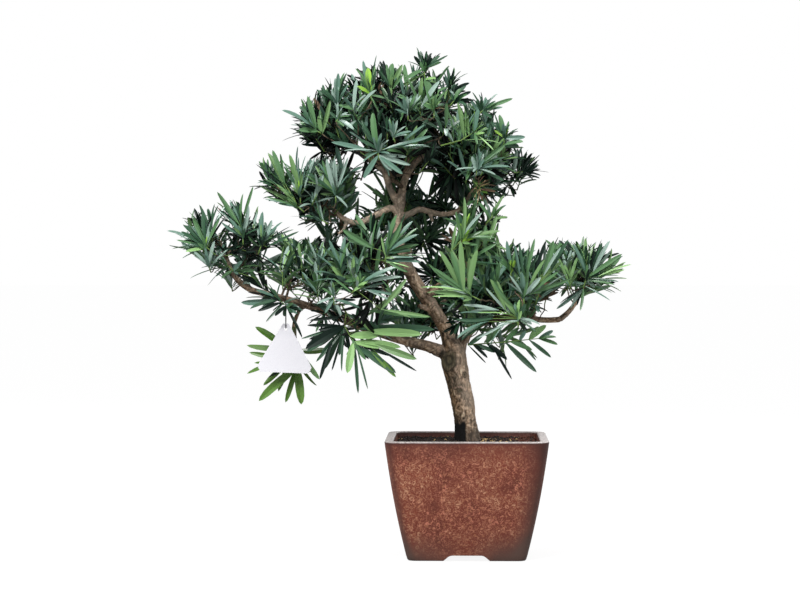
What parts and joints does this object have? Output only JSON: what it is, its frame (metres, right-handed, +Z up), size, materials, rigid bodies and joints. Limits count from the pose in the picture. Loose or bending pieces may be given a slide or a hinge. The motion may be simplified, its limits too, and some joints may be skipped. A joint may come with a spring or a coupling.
{
  "type": "potted podocarpus bonsai",
  "caption": "Evergreen bonsai with a leaning trunk, crooked boughs and pads of narrow leaves, in a square glazed pot, with a blank tag on a tie.",
  "frame": {"origin": "middle of the foot of the plant's bounding box, level with the underside of the pot", "axes": "+Z up; +X to the right and +Y away to the back, as the plant is seen from its front, where its trunk leans left"},
  "size_m": [0.6844, 0.3972, 0.7417],
  "materials": {
    "glaze": "satin mottled reddish-brown glaze",
    "soil": "damp grains and bark chips",
    "trunk_bark": "rough flaking bark",
    "bough_bark": "thin fibrous bark",
    "leaves": "leathery with a waxy gloss",
    "young_leaves": "soft with a light gloss",
    "tag_card": "smooth white",
    "tie_coat": "black coated wire"
  },
  "bodies": {
    "root": {"pot": "glaze", "soil": "soil", "trunk": "trunk_bark", "low_left_bough_inner": "bough_bark", "low_left_bough_outer": "bough_bark", "low_right_bough_inner": "bough_bark", "low_right_bough_outer": "bough_bark", "mid_left_bough": "bough_bark", "mid_right_bough": "bough_bark", "top_left_stem": "bough_bark", "top_right_stem": "bough_bark", "front_bough": "bough_bark", "right_bough": "bough_bark", "back_right_bough": "bough_bark", "back_middle_bough": "bough_bark", "back_left_bough": "bough_bark", "low_left_twig": "bough_bark", "crown_top": "leaves", "crown_tuft": "leaves", "crown_left": "leaves", "crown_front": "leaves", "crown_right": "leaves", "crown_back": "leaves", "upper_right_pad": "leaves", "upper_left_pad": "leaves", "outer_left_pad": "leaves", "inner_left_pad": "leaves", "front_pad": "leaves", "right_middle_pad": "leaves", "right_inner_pad": "leaves", "right_outer_pad": "leaves", "back_left_pad": "leaves", "back_right_pad": "leaves", "back_middle_pad": "leaves", "back_low_pad": "leaves", "low_middle_spray": "young_leaves", "low_left_spray": "young_leaves", "low_right_spray": "young_leaves", "tag": "tag_card", "tag_tie": "tie_coat"}
  },
  "joints": []
}
